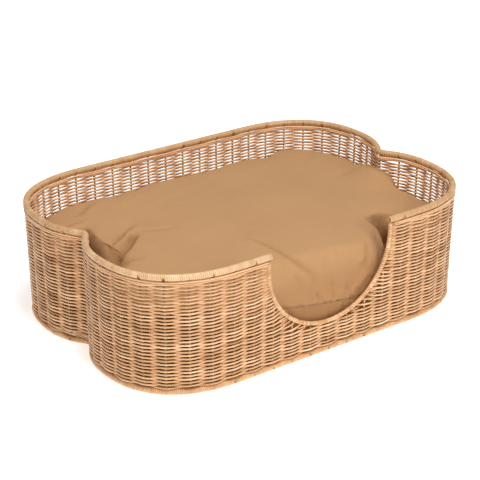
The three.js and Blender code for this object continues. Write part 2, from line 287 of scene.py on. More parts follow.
def cane(name, dark, mid, light, rough=(0.42, 0.62), bump=0.25, spot=0.5, coat=0.0):
    """Peeled reed: long fibres, tone by strand, small darker specks."""
    m, nt, b = material(name)
    fibre = nt.nodes.new("ShaderNodeAttribute")
    fibre.attribute_name = "fib"
    tone = nt.nodes.new("ShaderNodeAttribute")
    tone.attribute_name = "tone"
    long_n = noise(nt, fibre.outputs["Vector"], 3.0, 5.0, 0.6, (1.2, 9.0, 9.0))
    fine = noise(nt, fibre.outputs["Vector"], 9.0, 4.0, 0.7, (0.7, 14.0, 14.0))
    patch = noise(nt, fibre.outputs["Vector"], 0.9, 3.0, 0.5, (1.0, 0.3, 1.0))
    f = math_node(nt, "ADD", math_node(nt, "MULTIPLY", long_n, 0.55), math_node(nt, "MULTIPLY", patch, 0.6))
    f = math_node(nt, "SUBTRACT", f, 0.1, clamp=True)
    col = ramp(nt, f, [(0.22, dark), (0.5, mid), (0.8, light)])
    specks = ramp(nt, fine, [(0.30, (0.55, 0.42, 0.30)), (0.42, (1, 1, 1)), (1.0, (1, 1, 1))])
    col = mix(nt, spot, col, specks, "MULTIPLY")
    tcol = nt.nodes.new("ShaderNodeCombineColor")
    t = tone.outputs["Fac"]
    nt.links.new(t, tcol.inputs[0])
    nt.links.new(math_node(nt, "POWER", t, 1.42), tcol.inputs[1])
    nt.links.new(math_node(nt, "POWER", t, 1.95), tcol.inputs[2])
    col = mix(nt, 1.0, col, tcol.outputs[0], "MULTIPLY")
    nt.links.new(col, b.inputs["Base Color"])
    r = nt.nodes.new("ShaderNodeMapRange")
    r.inputs["To Min"].default_value = rough[0]
    r.inputs["To Max"].default_value = rough[1]
    nt.links.new(long_n, r.inputs["Value"])
    nt.links.new(r.outputs["Result"], b.inputs["Roughness"])
    # specular and coat weight follow the tone, so the shine fades on darker strands and where the tone carries painted
    # shade, down in the crevices and grooves
    for key, most in (("Specular IOR Level", 0.5), ("Coat Weight", coat)):
        g = nt.nodes.new("ShaderNodeMapRange")
        for k_, v_ in zip(("From Min", "From Max", "To Min", "To Max"), (0.45, 0.85, 0.02 * most, most)):
            g.inputs[k_].default_value = v_
        nt.links.new(t, g.inputs["Value"])
        nt.links.new(g.outputs["Result"], b.inputs[key])
    b.inputs["Coat Roughness"].default_value = 0.28
    bp = nt.nodes.new("ShaderNodeBump")
    bp.inputs["Strength"].default_value = bump
    bp.inputs["Distance"].default_value = 0.0004
    nt.links.new(fine, bp.inputs["Height"])
    nt.links.new(bp.outputs["Normal"], b.inputs["Normal"])
    return m


REED = cane("woven_reed", (0.62, 0.275, 0.105), (0.90, 0.548, 0.283), (0.98, 0.77, 0.53), (0.30, 0.46), coat=0.2)
RIMC = cane("pale_cane", (0.62, 0.33, 0.14), (0.82, 0.545, 0.295), (0.93, 0.72, 0.465), (0.36, 0.52), 0.25, 0.5, 0.1)
FOOTC = cane("dark_cane", (0.54, 0.25, 0.09), (0.84, 0.50, 0.25), (0.96, 0.70, 0.43), (0.36, 0.54), 0.3, 0.6, 0.1)
# the stakes are coloured darker than the weavers, as painted shade where they show in the gaps between rows
ROD = cane("stake_rod", (0.50, 0.25, 0.10), (0.74, 0.44, 0.21), (0.88, 0.60, 0.34), (0.5, 0.68), 0.3, 0.5)
POLE = cane("rattan_pole", (0.44, 0.22, 0.095), (0.62, 0.35, 0.17), (0.76, 0.49, 0.27), (0.45, 0.65), 0.3, 0.5)
MATC = cane("base_weave", (0.44, 0.23, 0.10), (0.64, 0.38, 0.19), (0.78, 0.52, 0.30), (0.5, 0.68), 0.3, 0.5)

# ------------------------------------------------------------------ woven wall
ROWS, ROW0, ROW1, REED_R = 60, 14.1, 221.8, 1.78
ROUT = EH + 2 * HOOP_R
# places where a row was missed or pushed aside: station, half length, height, opening
SLITS = [
    (QL - 30, 26, 219.5, 2.4),
    (QL - 78, 17, 199.0, 2.2),
    (QL + 120, 12, 208.0, 1.6),
    (L - 214, 15, 205.0, 2.4),
    (L - 96 - 70, 10, 150.0, 1.6),
    (2 * QL + 205, 14, 201.0, 1.8),
    (3 * QL - 150, 12, 190.0, 1.8),
    (3 * QL + 90, 12, 168.0, 1.5),
    (62, 13, 40.0, 1.5),
    (2 * QL - 240, 12, 196.0, 1.6),
]
SEG, SIDES = 8, 8


def row_end(z):
    h = EZ - z - 1.0
    if h <= 0:
        return ROUT - 1.2
    return math.sqrt(max(0.0, (ROUT - 1.2) ** 2 - h * h))


def weave_row(soup, k):
    z0 = ROW0 + (ROW1 - ROW0) * k / (ROWS - 1)
    n = STAKES * SEG
    sign = 1 if k % 2 == 0 else -1
    full = z0 < 57.5
    if full:
        s = np.arange(n) * L / n
    else:
        # rows turn up along the entrance hoop before they end on it
        amp = 8.5 * np.clip((z0 - 62) / 12, 0, 1) * np.clip((196 - z0) / 90, 0, 1)
        e = max(row_end(z0 + amp), 6.0)
        s = np.linspace(e, L - e, int((L - 2 * e) / (PITCH / SEG)) + 1)
    wob = smooth_noise(4000, 90, 100 + k)
    wob2 = smooth_noise(4000, 420, 300 + k)
    thick = smooth_noise(4000, 60, 500 + k)
    tone = 0.6 * smooth_noise(4000, 26, 700 + k) + 0.6 * smooth_noise(4000, 90, 2700 + k)
    ix = ((s % L) / L * 4000).astype(int) % 4000
    phase = np.cos(np.pi * s / PITCH)
    # a strand sits a little flatter against the stake than a plain wave
    shape = np.sign(phase) * np.abs(phase) ** 1.12
    d = sign * (STAKE_R + REED_R - 0.35) * shape
    z = z0 + 0.34 * wob[ix] + 0.20 * wob2[ix]
    for sc, half, zc, wide in SLITS:
        ds = (s - sc + L / 2) % L - L / 2
        z = z + 0.5 * wide * (1 if z0 > zc else -1) * np.exp(-abs(z0 - zc) / 9.0) * np.exp(-((np.abs(ds) / half) ** 4))
    # strands over the stake settle towards their neighbours, as pushed-down rows do
    z = z - 0.10 * np.abs(phase)
    if not full:
        # rows fan up towards the entrance hoop
        x = np.minimum(s, L - s)
        gap = np.clip(x - e, 0, None)
        z = z + amp * np.exp(-gap / 22.0)
        # rows bunch in twos and threes where they turn, which leaves small three-cornered holes
        side = 0 if k % 2 else 1
        bunch = np.random.default_rng(4000 + (k + side) // 2).uniform(-1.8, 1.8)
        z = z + np.clip((z0 - 64) / 8, 0, 1) * np.clip((200 - z0) / 60, 0, 1) * bunch * np.exp(-gap / 11.0)
        # weavers close on the hoop's middle plane
        d = d * np.clip(gap / 16.0, 0.12, 1)
    r = REED_R * (1 + 0.06 * thick[ix]) * (0.95 + 0.05 * np.abs(phase))
    base = np.random.default_rng(900 + k).uniform(0.84, 1.10)
    t = base * (1 + 0.13 * tone[ix])
    # short darker lengths where a strand is stained
    r2 = np.random.default_rng(1500 + k)
    for _ in range(2):
        c = r2.uniform(0, L)
        w = r2.uniform(25, 70)
        dist = np.abs((s - c + L / 2) % L - L / 2)
        t = t * (1 - 0.22 * np.exp(-((dist / w) ** 2)))
    U, V = ring_frame(s)
    c = wall(s, d, z)
    # painted shade: the recessed side of a strand is darkened, and so is its lower side against the row below, most
    # where it bends round a stake
    th = np.arange(SIDES) / SIDES * 2 * np.pi
    recess_shade = soft_step((-np.cos(th)[None] * (sign * shape)[:, None] - 0.18) / 0.62)
    edge = np.clip(-np.sin(th), 0, 1)[None] ** 1.5 * np.ones((len(s), 1))
    t2 = t[:, None] * (1 - 0.78 * recess_shade) * (1 - 0.30 * edge * np.abs(shape)[:, None])
    tall = 0.97 + 0.26 * np.abs(phase)
    tube(soup, c, U, V, r, SIDES, full, row=k * 0.37, tone=t2, start=k * 53.0, tall=tall)


parts = {}
lower, up_a, up_b = Soup(), Soup(), Soup()
for k in range(ROWS):
    z0 = ROW0 + (ROW1 - ROW0) * k / (ROWS - 1)
    weave_row(lower if z0 < 57.5 else (up_a if k < 37 else up_b), k)
wl = lower.make("weave_rows_lower")
wa = up_a.make("weave_rows_middle")
wb = up_b.make("weave_rows_upper")
for o in (wl, wa, wb):
    o.data.materials.append(REED)
    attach(o, "basket")
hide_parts("wall_weave_lower")
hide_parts("wall_weave_upper")

# ------------------------------------------------------------------ stakes
def hoop_z(x, clear):
    R = EH + 2 * HOOP_R + clear
    return EZ - math.sqrt(R * R - x * x)


def leg(s, h, zc, steps=7):
    p = at(s)
    top = 231.1
    if p[1] < 0 and abs(p[0]) < EH:
        top = hoop_z(max(0.0, abs(p[0]) - STAKE_R - 0.4), 0.6)
    foot = wall(s, 0, zc + BEND_R)
    head = wall(s, 0, top)
    pts = [head + (foot - head) * t for t in np.linspace(0, 1, 8)[:-1]]
    for a in np.linspace(0, math.pi / 2, steps):
        pts.append(np.array([foot[0] + h[0] * BEND_R * (1 - math.cos(a)), foot[1] + h[1] * BEND_R * (1 - math.cos(a)), zc + BEND_R - BEND_R * math.sin(a)]))
    return pts


def carry_frames(p):
    t = np.gradient(p, axis=0)
    t /= np.linalg.norm(t, axis=1, keepdims=True)
    u = np.cross(t[0], [0.3, 0.7, 0.1])
    U = []
    for k in t:
        u = u - k * (u @ k)
        u /= np.linalg.norm(u)
        U.append(u)
    U = np.array(U)
    return U, np.cross(t, U)


def rod(name, pts, r, seed, sides=12):
    p = np.array(pts)
    U, V = carry_frames(p)
    sp = Soup()
    t = 0.9 + 0.1 * smooth_noise(len(p), 7, seed) + np.random.default_rng(seed).uniform(-0.06, 0.06)
    tube(sp, p, U, V, r * (1 + 0.03 * smooth_noise(len(p), 9, seed + 1)), sides, False, row=seed * 0.7, tone=t)
    o = sp.make(name)
    o.data.materials.append(ROD)
    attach(o, "basket")
    return o


def run(a, b, n=24):
    return [a + (b - a) * t for t in np.linspace(0, 1, n)[1:-1]]


for i in range(-8, 9):
    f = leg(i * PITCH, (0, 1), LOW_Z)
    g = leg(2 * QL - i * PITCH, (0, -1), LOW_Z)
    tag = "middle" if i == 0 else f"{'left' if i < 0 else 'right'}_{abs(i)}"
    o = rod(f"rod_front_rear_{tag}", f + run(f[-1], g[-1]) + g[::-1], STAKE_R, 40 + i)
    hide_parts(f"stake_front_rear_{tag}")
for i in range(-5, 6):
    f = leg(3 * QL - i * PITCH, (1, 0), HIGH_Z)
    g = leg(QL + i * PITCH, (-1, 0), HIGH_Z)
    tag = "middle" if i == 0 else f"{'front' if i < 0 else 'rear'}_{abs(i)}"
    o = rod(f"rod_end_to_end_{tag}", f + run(f[-1], g[-1]) + g[::-1], STAKE_R, 90 + i)
    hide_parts(f"stake_end_to_end_{tag}")

# ------------------------------------------------------------------ poles and their bindings
def wound(s, theta, pitch, R, depth, seed):
    """Radius of a binding of cane wound round a pole: flat turns with a groove between."""
    ph = (s[:, None] / pitch + theta[None] / (2 * np.pi)) % 1.0
    g = np.abs(ph - 0.5) * 2  # 1 at a groove
    g = np.clip((g - 0.55) / 0.45, 0, 1) ** 1.6
    turn = np.floor(s[:, None] / pitch + theta[None] / (2 * np.pi)).astype(int)
    rr = np.random.default_rng(seed).uniform(-1, 1, 4096)
    return R - depth * g - 0.10 * (1 + rr[turn % 4096]) * 0.5, g, rr[turn % 4096]


def bound_ring(name, s, d, z, R, inner, pitch, depth, sides, seed, marks, mat, base_tone):
    theta = np.arange(sides) / sides * 2 * np.pi
    r, g, turn = wound(s, theta, pitch, R, depth, seed)
    near = np.abs((s + PITCH / 2) % PITCH - PITCH / 2)
    jit = smooth_noise(len(s), 60, seed + 3) * 1.5
    kept = (np.sin(np.round(s / PITCH) * 12.9898 + seed) > -0.75)[:, None]
    mark = np.exp(-(((near + jit) / 1.15) ** 2))[:, None] * kept * np.ones((1, sides))
    low = np.clip(0.55 - np.sin(theta), 0, 1)[None]  # stronger on the lower half
    r = r - 0.65 * np.clip(mark * low * marks, 0, 1)
    # painted shade: the tone is darker down in the grooves between turns; the per-turn tone and the dark tick marks at
    # the stakes are the cane's own colour
    tone = base_tone * (1 + 0.07 * turn) * (1 - 0.50 * g) * (1 - 0.72 * np.clip(mark * low * marks, 0, 1))
    slow = smooth_noise(len(s), 40, seed + 5)[:, None]
    tone = tone * (1 + 0.05 * slow)
    c = wall(s, d, z) if np.ndim(z) == 0 else wall(s, d, z)
    U, V = ring_frame(s)
    cs, sn = np.cos(theta), np.sin(theta)
    outer = c[:, None] + U[:, None] * (cs * r)[..., None] + V[:, None] * (sn * r)[..., None]
    inn = c[:, None] + U[:, None] * (cs * inner)[None, :, None] + V[:, None] * (sn * inner)[None, :, None]
    fib = np.zeros(outer.shape)
    fib[..., 0] = theta[None] * 0.05
    fib[..., 1] = (s[:, None] / pitch) * 0.5
    fib[..., 2] = seed
    sp = Soup()
    sp.sleeve(outer, inn, fib, tone)
    o = sp.make(name)
    o.data.materials.append(mat)
    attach(o, "basket")
    return o


rim_z = HEIGHT - RIM_R
s = np.linspace(EH, L - EH, int((L - 2 * EH) / 0.85))
straw = np.exp(-((((s - (L - 330) + L / 2) % L - L / 2) / 210) ** 4))  # the newer, paler cane of one length of the rim
o = bound_ring("rim_wound_cane", s, 0.0 - lean(rim_z), rim_z, RIM_R, RIM_R - 1.43, 3.7, 0.5, 16, 11, 1.5, RIMC, (0.87 + 0.15 * straw)[:, None])
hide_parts("rim_binding")
s = np.linspace(2 * QL + 0.6, 2 * QL + L - 0.6, int(L / 0.95))
o = bound_ring("foot_wound_cane", s, -LEAN - lean(FOOT_R), FOOT_R, FOOT_R, FOOT_R - 1.6, 3.8, 0.6, 14, 23, 1.6, FOOTC, 0.98)
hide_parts("foot_binding")


def plain_ring(name, s, d, z, r, closed, mat, node, sides=14, seed=5):
    U, V = ring_frame(s)
    sp = Soup()
    tube(sp, wall(s, d, z), U, V, r, sides, closed, row=seed, tone=0.9)
    o = sp.make(name)
    o.data.materials.append(mat)
    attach(o, "basket")
    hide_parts(node)
    return o


plain_ring("rim_rattan_pole", np.linspace(EH + 0.8, L - EH - 0.8, 420), 0.0, rim_z, 4.6, False, POLE, "rim_pole")
plain_ring("foot_rattan_hoop", np.arange(440) * L / 440, -LEAN - lean(FOOT_R), FOOT_R, 3.9, True, POLE, "foot_hoop", seed=6)

# entrance hoop: path in the front wall's plane
R0 = EH + HOOP_R


def hoop_path(n_arc, n_leg, top):
    th = np.linspace(math.pi, 2 * math.pi, n_arc)
    arc = np.stack([R0 * np.cos(th), EZ + R0 * np.sin(th)], 1)
    up = np.linspace(top, EZ, n_leg)[:-1]
    left = np.stack([np.full(len(up), -R0), up], 1)
    right = np.stack([np.full(len(up), R0), up[::-1]], 1)
    p = np.concatenate([left, arc, right])
    nin = np.concatenate([np.tile([1.0, 0], (len(up), 1)), np.stack([-np.cos(th), -np.sin(th)], 1), np.tile([-1.0, 0], (len(up), 1))])
    return p, nin


def hoop_grid(p, nin, r, theta):
    """r: (N, M). Points round the hoop, cos along the in-plane normal, sin along Y."""
    a, b = np.cos(theta) * r, np.sin(theta) * r
    x = p[:, :1] + nin[:, :1] * a
    z = p[:, 1:] + nin[:, 1:] * a
    y = -(B + lean(z)) + b
    return np.stack([x, y, z], -1)


arc_len = math.pi * R0
p, nin = hoop_path(int(arc_len / 0.8), 28, 231.1)
along = np.concatenate([[0], np.cumsum(np.linalg.norm(np.diff(p, axis=0), axis=1))])
theta = np.arange(16) / 16 * 2 * np.pi
lump = smooth_noise(len(along), 110, 35, False)[:, None]
r, g, turn = wound(along + 1.2 * smooth_noise(len(along), 60, 33, False), theta, 4.3, HOOP_R + 0.05, 0.95, 31)
r = r + 0.22 * lump
outer = hoop_grid(p, nin, r, theta)
inner = hoop_grid(p, nin, np.full_like(r, 3.3), theta)
fib = np.zeros(outer.shape)
fib[..., 0] = theta[None] * 0.05
fib[..., 1] = along[:, None] / 4.3 * 0.5
fib[..., 2] = 7
sp = Soup()
# painted shade: the tone is darker down in the grooves between turns
sp.sleeve(outer, inner, fib, 0.95 * (1 + 0.12 * turn + 0.05 * lump) * (1 - 0.55 * g))
o = sp.make("entrance_wound_cane")
o.data.materials.append(REED)
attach(o, "basket")
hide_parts("entrance_binding")
p, nin = hoop_path(140, 6, 230.7)
sp = Soup()
grid = hoop_grid(p, nin, np.full((len(p), 12), 3.0), np.arange(12) / 12 * 2 * np.pi)
fb = np.zeros(grid.shape)
fb[..., 0] = np.arange(len(p))[:, None] * 0.03
sp.grid(grid, False, fib=fb, tone=0.9)
o = sp.make("entrance_rattan_hoop")
o.data.materials.append(POLE)
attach(o, "basket")
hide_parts("entrance_hoop")

# ------------------------------------------------------------------ running canes under the rim
for name, node, sgn, seed in (("running_cane_outer", "top_wale_outer", 1, 61), ("running_cane_inner", "top_wale_inner", -1, 67)):
    sp = Soup()
    s0 = ROUT + 0.6
    s = np.linspace(s0, L - s0, 56 * 7)
    U, V = ring_frame(s)
    for j, zz in enumerate((225.6, 229.3)):
        w = smooth_noise(len(s), 70, seed + j) * 0.25
        ph = np.cos(np.pi * s / PITCH + j * np.pi)
        d = sgn * (4.35 + 0.35 * ph)
        tone = (1.02 if j else 0.96) * (1 + 0.07 * smooth_noise(len(s), 30, seed + 7 + j))
        tube(sp, wall(s, d, zz + w + 0.25 * ph), U, V, 1.72 * (1 + 0.04 * smooth_noise(len(s), 50, seed + 9)), 9, False, row=seed + j, tone=tone)
    o = sp.make(name)
    o.data.materials.append(REED)
    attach(o, "basket")
    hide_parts(node)

# ------------------------------------------------------------------ base mat: flat reeds woven over and under each other
def inside_span(y, off):
    """Half length of the outline at height y, drawn in by off."""
    pts = at(np.linspace(0, L, 4000)) + normal(np.linspace(0, L, 4000)) * off
    m = pts[:, 0] > 0
    yy, xx = pts[m, 1], pts[m, 0]
    near = np.abs(yy - y) < 2.0
    return float(xx[near].min()) if near.any() else 0.0


def inside_span_y(x, off):
    pts = at(np.linspace(0, L, 4000)) + normal(np.linspace(0, L, 4000)) * off
    m = pts[:, 1] > 0
    near = m & (np.abs(pts[:, 0] - x) < 2.0)
    return float(pts[near, 1].min()) if near.any() else 0.0


sp = Soup()
W, STEP = 8.6, 11.0
MAT_EDGE = -9.0  # just clear of the wall, which leans in here
nx, ny = int(2 * 391 / STEP), int(2 * 274 / STEP)
xs = (np.arange(nx) - (nx - 1) / 2) * STEP
ys = (np.arange(ny) - (ny - 1) / 2) * STEP
for j, y in enumerate(ys):
    half = inside_span(abs(y) + W / 2, MAT_EDGE) if abs(y) > 4 else inside_span(0.0, MAT_EDGE)
    half = min(half, inside_span(max(0.0, abs(y) - W / 2), MAT_EDGE))
    if half < 30:
        continue
    u = np.linspace(-half, half, max(8, int(2 * half / (STEP / 2))))
    ph = np.cos(np.pi * (u - xs[0]) / STEP + j * np.pi)
    c = np.stack([u, np.full_like(u, y), 22.9 + 0.62 * ph], 1)
    rect = np.array([(-W / 2, -0.42), (W / 2, -0.42), (W / 2, 0.42), (-W / 2, 0.42)])
    rows = c[:, None] + np.array([0, 1, 0])[None, None] * rect[None, :, :1] + np.array([0, 0, 1])[None, None] * rect[None, :, 1:]
    fb = np.zeros(rows.shape)
    fb[..., 0] = u[:, None] * 0.01
    fb[..., 1] = rect[None, :, 0] * 0.3
    fb[..., 2] = j * 1.3
    sp.grid(rows, False, fib=fb, tone=np.random.default_rng(2000 + j).uniform(0.85, 1.05))
# flat border cane under the mat's edge, lying on the rods
s = np.linspace(0, L, 900, endpoint=False)
U, V = ring_frame(s)
tube(sp, wall(s, np.full_like(s, -8.3), np.full_like(s, 21.42)), U, V, 2.3, 8, True, row=7, tone=np.full_like(s, 0.9), tall=np.full_like(s, 0.13))
mat1 = sp.make("base_mat_long_reeds")
sp = Soup()
for i, x in enumerate(xs):
    half = min(inside_span_y(abs(x) + W / 2, MAT_EDGE), inside_span_y(max(0.0, abs(x) - W / 2), MAT_EDGE))
    if half < 12:
        continue
    spans = [(-half, half)]
    if abs(x) + W / 2 > inside_span(0.0, -12):
        # in the lobes the reed stops at the hollow
        yy = np.linspace(0, 100, 201)
        lim = next((v for v in yy if inside_span(v, -12) > abs(x) + W / 2), 100.0)
        spans = [(-half, -lim - 1), (lim + 1, half)]
    for a, b in spans:
        if b - a < 12:
            continue
        u = np.linspace(a, b, max(6, int((b - a) / (STEP / 2))))
        ph = -np.cos(np.pi * (u - ys[0]) / STEP + i * np.pi)
        c = np.stack([np.full_like(u, x), u, 22.9 + 0.62 * ph], 1)
        rect = np.array([(-W / 2, -0.42), (-W / 2, 0.42), (W / 2, 0.42), (W / 2, -0.42)])
        rows = c[:, None] + np.array([1, 0, 0])[None, None] * rect[None, :, :1] + np.array([0, 0, 1])[None, None] * rect[None, :, 1:]
        fb = np.zeros(rows.shape)
        fb[..., 0] = u[:, None] * 0.01
        fb[..., 1] = rect[None, :, 0] * 0.3
        fb[..., 2] = i * 1.7 + 90
        sp.grid(rows, False, fib=fb, tone=np.random.default_rng(3000 + i).uniform(0.85, 1.05))
mat2 = sp.make("base_mat_cross_reeds")
for o in (mat1, mat2):
    for poly in o.data.polygons:
        poly.use_smooth = False
    o.data.materials.append(MATC)
    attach(o, "basket")
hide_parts("base_mat")

# ------------------------------------------------------------------ cushion: shaped, remeshed, puffed as cloth, then creased
def gauss(x, c, w):
    return np.exp(-(((x - c) / w) ** 2))


def around(s, c):
    return (s - c + L / 2) % L - L / 2


CUSH_LOW, CUSH_MID = 24.9, 172.0


def inset(s):
    """How far the cushion's upper edge stands in from the wall's middle surface."""
    o = 12.5 + 0 * s
    o = o + 20 * np.exp(-((np.abs(around(s, 3 * QL - 12)) / 58) ** 2.4))  # drawn back at the left hollow
    o = o + 6 * gauss(around(s, QL), 0, 50)
    o = o + 44 * np.exp(-((np.abs(around(s, 207)) / 52) ** 3.0))  # falls away right of the entrance
    o = o + 14 * gauss(around(s, -205), 0, 60)
    o = o - 3.5 * gauss(around(s, 0), 0, 70)  # pushes into the entrance
    o = o + 5 * gauss(around(s, 2 * QL + 150), 0, 60) + 3 * gauss(around(s, 2 * QL - 90), 0, 50)
    return o


def edge_radius(s):
    """Roundness of the upper edge: generous at the entrance, tight at the rear."""
    r = 24 - 9 * gauss(around(s, 2 * QL), 0, 480)
    r = r + 44 * gauss(around(s, 10), 0, 175)
    return r


def cushion_rows(n=220):
    s = np.arange(n) * L / n
    N = normal(s)
    P0 = at(s)
    ins, R = inset(s), edge_radius(s)
    rows = []

    def ring_at(off, z):
        p = P0 - N * np.asarray(off)[..., None]
        rows.append(np.concatenate([p, np.broadcast_to(z, (n,))[:, None]], 1))

    low = np.full(n, 15.5)
    Rl = 22.0
    ring_at(low + 120, np.full(n, CUSH_LOW))
    ring_at(low + 60, np.full(n, CUSH_LOW))
    for a in np.linspace(0, math.pi / 2, 6):
        ring_at(low + Rl * (1 - math.sin(a)), CUSH_LOW + Rl * (1 - math.cos(a)))
    top = CUSH_MID + 5 * gauss(around(s, 2 * QL), 0, 420)
    for t in (0.3, 0.6, 0.85):
        z = CUSH_LOW + Rl + (top - R - CUSH_LOW - Rl) * t
        ring_at(low + (ins - low) * t ** (1.5 - 0.9 * gauss(around(s, 207), 0, 60)), z)
    for a in np.linspace(0, math.pi / 2, 9):
        ring_at(ins + R * (1 - math.cos(a)), top - R * (1 - math.sin(a)))
    ring_at(ins + R + 25, top + 2)
    ring_at(ins + R + 60, top + 3.5)
    return np.array(rows)


def closed_from_rows(name, rows, lo_z, hi_z):
    N, M, _ = rows.shape
    v = np.concatenate([rows.reshape(-1, 3), [[0, 0, lo_z], [0, 0, hi_z]]]) * MM
    f = []
    for i in range(N - 1):
        for j in range(M):
            k = (j + 1) % M
            f.append((i * M + j, i * M + k, (i + 1) * M + k, (i + 1) * M + j))
    for j in range(M):
        k = (j + 1) % M
        f.append((N * M, k, j))
        f.append((N * M + 1, (N - 1) * M + j, (N - 1) * M + k))
    me = bpy.data.meshes.new(name)
    me.from_pydata([tuple(p) for p in v], [], f)
    me.update()
    o = bpy.data.objects.new(name, me)
    bpy.context.scene.collection.objects.link(o)
    return o


def apply_all(o):
    dg = bpy.context.evaluated_depsgraph_get()
    me = bpy.data.meshes.new_from_object(o.evaluated_get(dg))
    o.modifiers.clear()
    old = o.data
    o.data = me
    bpy.data.meshes.remove(old)


def coords(me):
    c = np.empty(len(me.vertices) * 3, np.float32)
    me.vertices.foreach_get("co", c)
    return c.reshape(-1, 3).astype(float)


def put(me, c):
    me.vertices.foreach_set("co", np.asarray(c, np.float32).ravel())
    me.update()


OUT_S = np.linspace(0, L, 4000, endpoint=False)
OUT_P = at(OUT_S)
OUT_N = normal(OUT_S)


def nearest_outline(xy):
    """Station on the outline and signed distance inside it, for points in millimetres."""
    s = np.empty(len(xy))
    d = np.empty(len(xy))
    for i in range(0, len(xy), 4000):
        b = xy[i : i + 4000]
        dd = ((b[:, None] - OUT_P[None, ::4]) ** 2).sum(-1)
        j = dd.argmin(1) * 4
        best = j
        bd = ((b - OUT_P[j]) ** 2).sum(1)
        for k in (-3, -2, -1, 1, 2, 3):
            jj = (j + k) % len(OUT_S)
            d2 = ((b - OUT_P[jj]) ** 2).sum(1)
            m = d2 < bd
            best = np.where(m, jj, best)
            bd = np.where(m, d2, bd)
        s[i : i + 4000] = OUT_S[best]
        d[i : i + 4000] = -((b - OUT_P[best]) * OUT_N[best]).sum(1)
    return s, d


cush = closed_from_rows("cushion_cover", cushion_rows(), CUSH_LOW, CUSH_MID + 5)


def remesh(o, size):
    rm = o.modifiers.new("remesh", "REMESH")
    rm.mode = "VOXEL"
    rm.voxel_size = size
    apply_all(o)


def polygon_depth(p, poly):
    """Distance inside a closed polygon in plan, zero outside it."""
    poly = np.array(poly, float)
    a, b = poly, np.roll(poly, -1, 0)
    best = np.full(len(p), 1e9)
    odd = np.zeros(len(p), bool)
    for (x0, y0), (x1, y1) in zip(a, b):
        e = np.array([x1 - x0, y1 - y0])
        w = p - np.array([x0, y0])
        t = np.clip((w @ e) / (e @ e), 0, 1)
        best = np.minimum(best, np.hypot(*(w - t[:, None] * e).T))
        if y0 != y1:
            odd ^= ((y0 > p[:, 1]) != (y1 > p[:, 1])) & (p[:, 0] < (x1 - x0) * (p[:, 1] - y0) / (y1 - y0) + x0)
    return np.where(odd, best, 0.0)


remesh(cush, 0.007)
c = coords(cush.data) * 1000
# the trough beside the left hollow, and the pocket right of the entrance
left = polygon_depth(c[:, :2], [(-281, 140), (-288, 98), (-295, 68), (-298, 37), (-300, 8), (-312, -34), (-345, -70), (-372, -40), (-380, 20), (-378, 60), (-352, 104), (-312, 138)])
right = polygon_depth(c[:, :2], [(198, -150), (192, -194), (182, -222), (160, -244), (178, -290), (262, -290), (280, -235), (262, -190), (232, -152)])
sink = np.clip(soft_step(left / 18) + soft_step(right / 18), 0, 1)
c[:, 2] = np.where(c[:, 2] > 100, 100 + (c[:, 2] - 100) * (1 - 0.88 * sink), c[:, 2])
# the corner of the cushion rides up at the right hollow
wide = np.where(c[:, 1] > -8, 62, 42)
bump = 42 * np.exp(-((np.abs(c[:, 0] - 356) / 50) ** 2.2) - (np.abs(c[:, 1] + 8) / wide) ** 2.2)
c[:, 2] += soft_step((c[:, 2] - 90) / 60) * bump
put(cush.data, c / 1000)
remesh(cush, 0.0058)
base = coords(cush.data) * 1000


def seam_z(x, y):
    return 97.7 - 0.165 * np.clip(x, -118, 118) * soft_step((-y - 120) / 110)


# pins: the underside and the seam line hold still
zz = base[:, 2]
nrm = np.empty(len(base) * 3, np.float32)
cush.data.vertices.foreach_get("normal", nrm)
nrm = nrm.reshape(-1, 3)
ds = np.abs(zz - seam_z(base[:, 0], base[:, 1]))
pin = np.where(zz < CUSH_LOW + 4, 1.0, 0.0)
pin = np.maximum(pin, np.where((ds < 3.5) & (np.abs(nrm[:, 2]) < 0.8), 1.0, 0.0))
g = cush.vertex_groups.new(name="pin")
for w in (1.0,):
    g.add([int(i) for i in np.where(pin >= 1)[0]], w, "REPLACE")
# a slack cover: the cloth's rest size is a little larger than the filling's
cl = cush.modifiers.new("cloth", "CLOTH")
st = cl.settings
st.quality = 6
st.mass = 0.25
st.tension_stiffness = 18
st.compression_stiffness = 18
st.shear_stiffness = 8
st.bending_stiffness = 1.2
st.use_pressure = True
st.uniform_pressure_force = 4.0
st.shrink_min = -0.045
st.vertex_group_mass = "pin"
st.effector_weights.gravity = 0.0
cl.collision_settings.use_collision = False
cl.collision_settings.use_self_collision = False
sc = bpy.context.scene
sc.frame_start, sc.frame_end = 1, 20
for fr in range(1, 21):
    sc.frame_set(fr)
apply_all(cush)
sc.frame_set(1)
cush.vertex_groups.clear()
now = coords(cush.data) * 1000
mv = now - base
ln = np.linalg.norm(mv, axis=1, keepdims=True)
mv = mv * np.minimum(1, 9.0 / np.maximum(ln, 1e-6))
put(cush.data, (base + mv) / 1000)
# finer above the lower edge, where folds and the seam go
bm = bmesh.new()
bm.from_mesh(cush.data)
fine_edges = {e for f in bm.faces if f.calc_center_median().z > 0.072 for e in f.edges}
bmesh.ops.subdivide_edges(bm, edges=list(fine_edges), cuts=1, use_grid_fill=True)
bm.to_mesh(cush.data)
bm.free()
sm = cush.modifiers.new("even", "SMOOTH")
sm.factor, sm.iterations = 0.5, 2
apply_all(cush)


def normals(me):
    n = np.empty(len(me.vertices) * 3, np.float32)
    me.vertices.foreach_get("normal", n)
    return n.reshape(-1, 3).astype(float)


